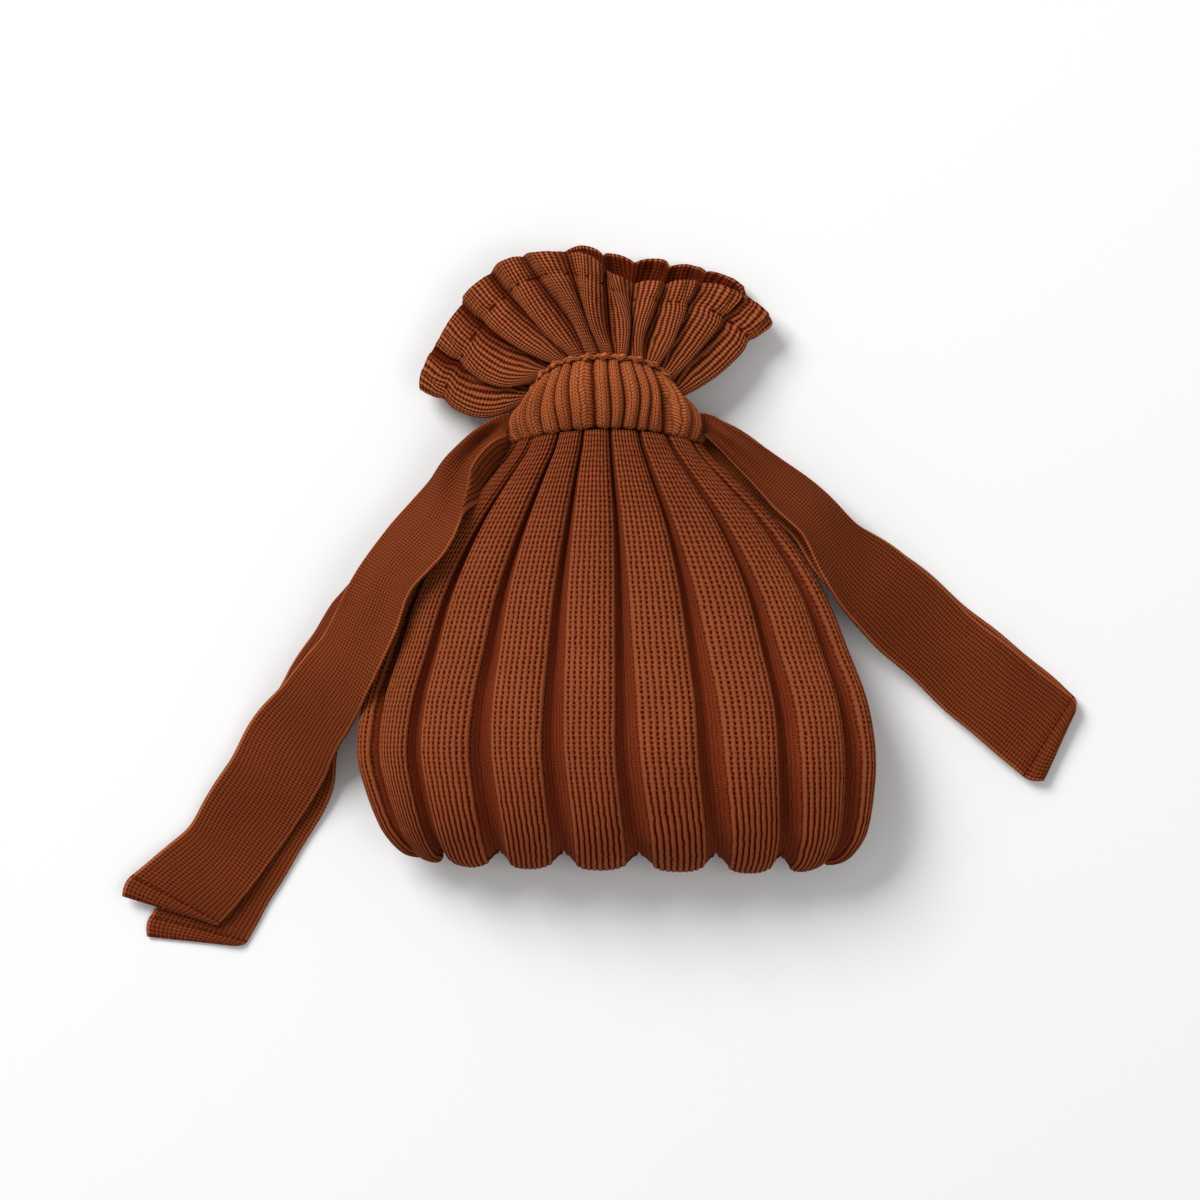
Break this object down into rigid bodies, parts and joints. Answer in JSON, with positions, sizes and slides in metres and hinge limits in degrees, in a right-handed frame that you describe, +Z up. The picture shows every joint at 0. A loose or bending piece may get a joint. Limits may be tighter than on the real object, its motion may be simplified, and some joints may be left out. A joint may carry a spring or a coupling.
{
  "type": "drawstring bag",
  "caption": "Pleated knitted drawstring bag lying on its back, with a gathered casing, a fanned ruffle at its mouth and two flat knitted drawstrings to pull it shut.",
  "frame": {"origin": "on the table, under the middle of the bag and its spread drawstrings", "axes": "+X to the right of the bag's front, +Y from its foot to its ruffle, +Z up out of the table through its front"},
  "size_m": [0.383, 0.2776, 0.0514],
  "materials": {
    "body_knit": "matt chunky rib knit in rust brown",
    "casing_knit": "matt plain knit in rust brown",
    "ruffle_knit": "matt rib knit in rust brown with a rolled rim",
    "drawstring_knit": "matt fine rib knit in dark rust brown"
  },
  "bodies": {
    "root": {"bag_body": "body_knit", "neck_casing": "casing_knit", "ruffle": "ruffle_knit", "front_drawstring": "drawstring_knit", "back_drawstring": "drawstring_knit"}
  },
  "joints": []
}
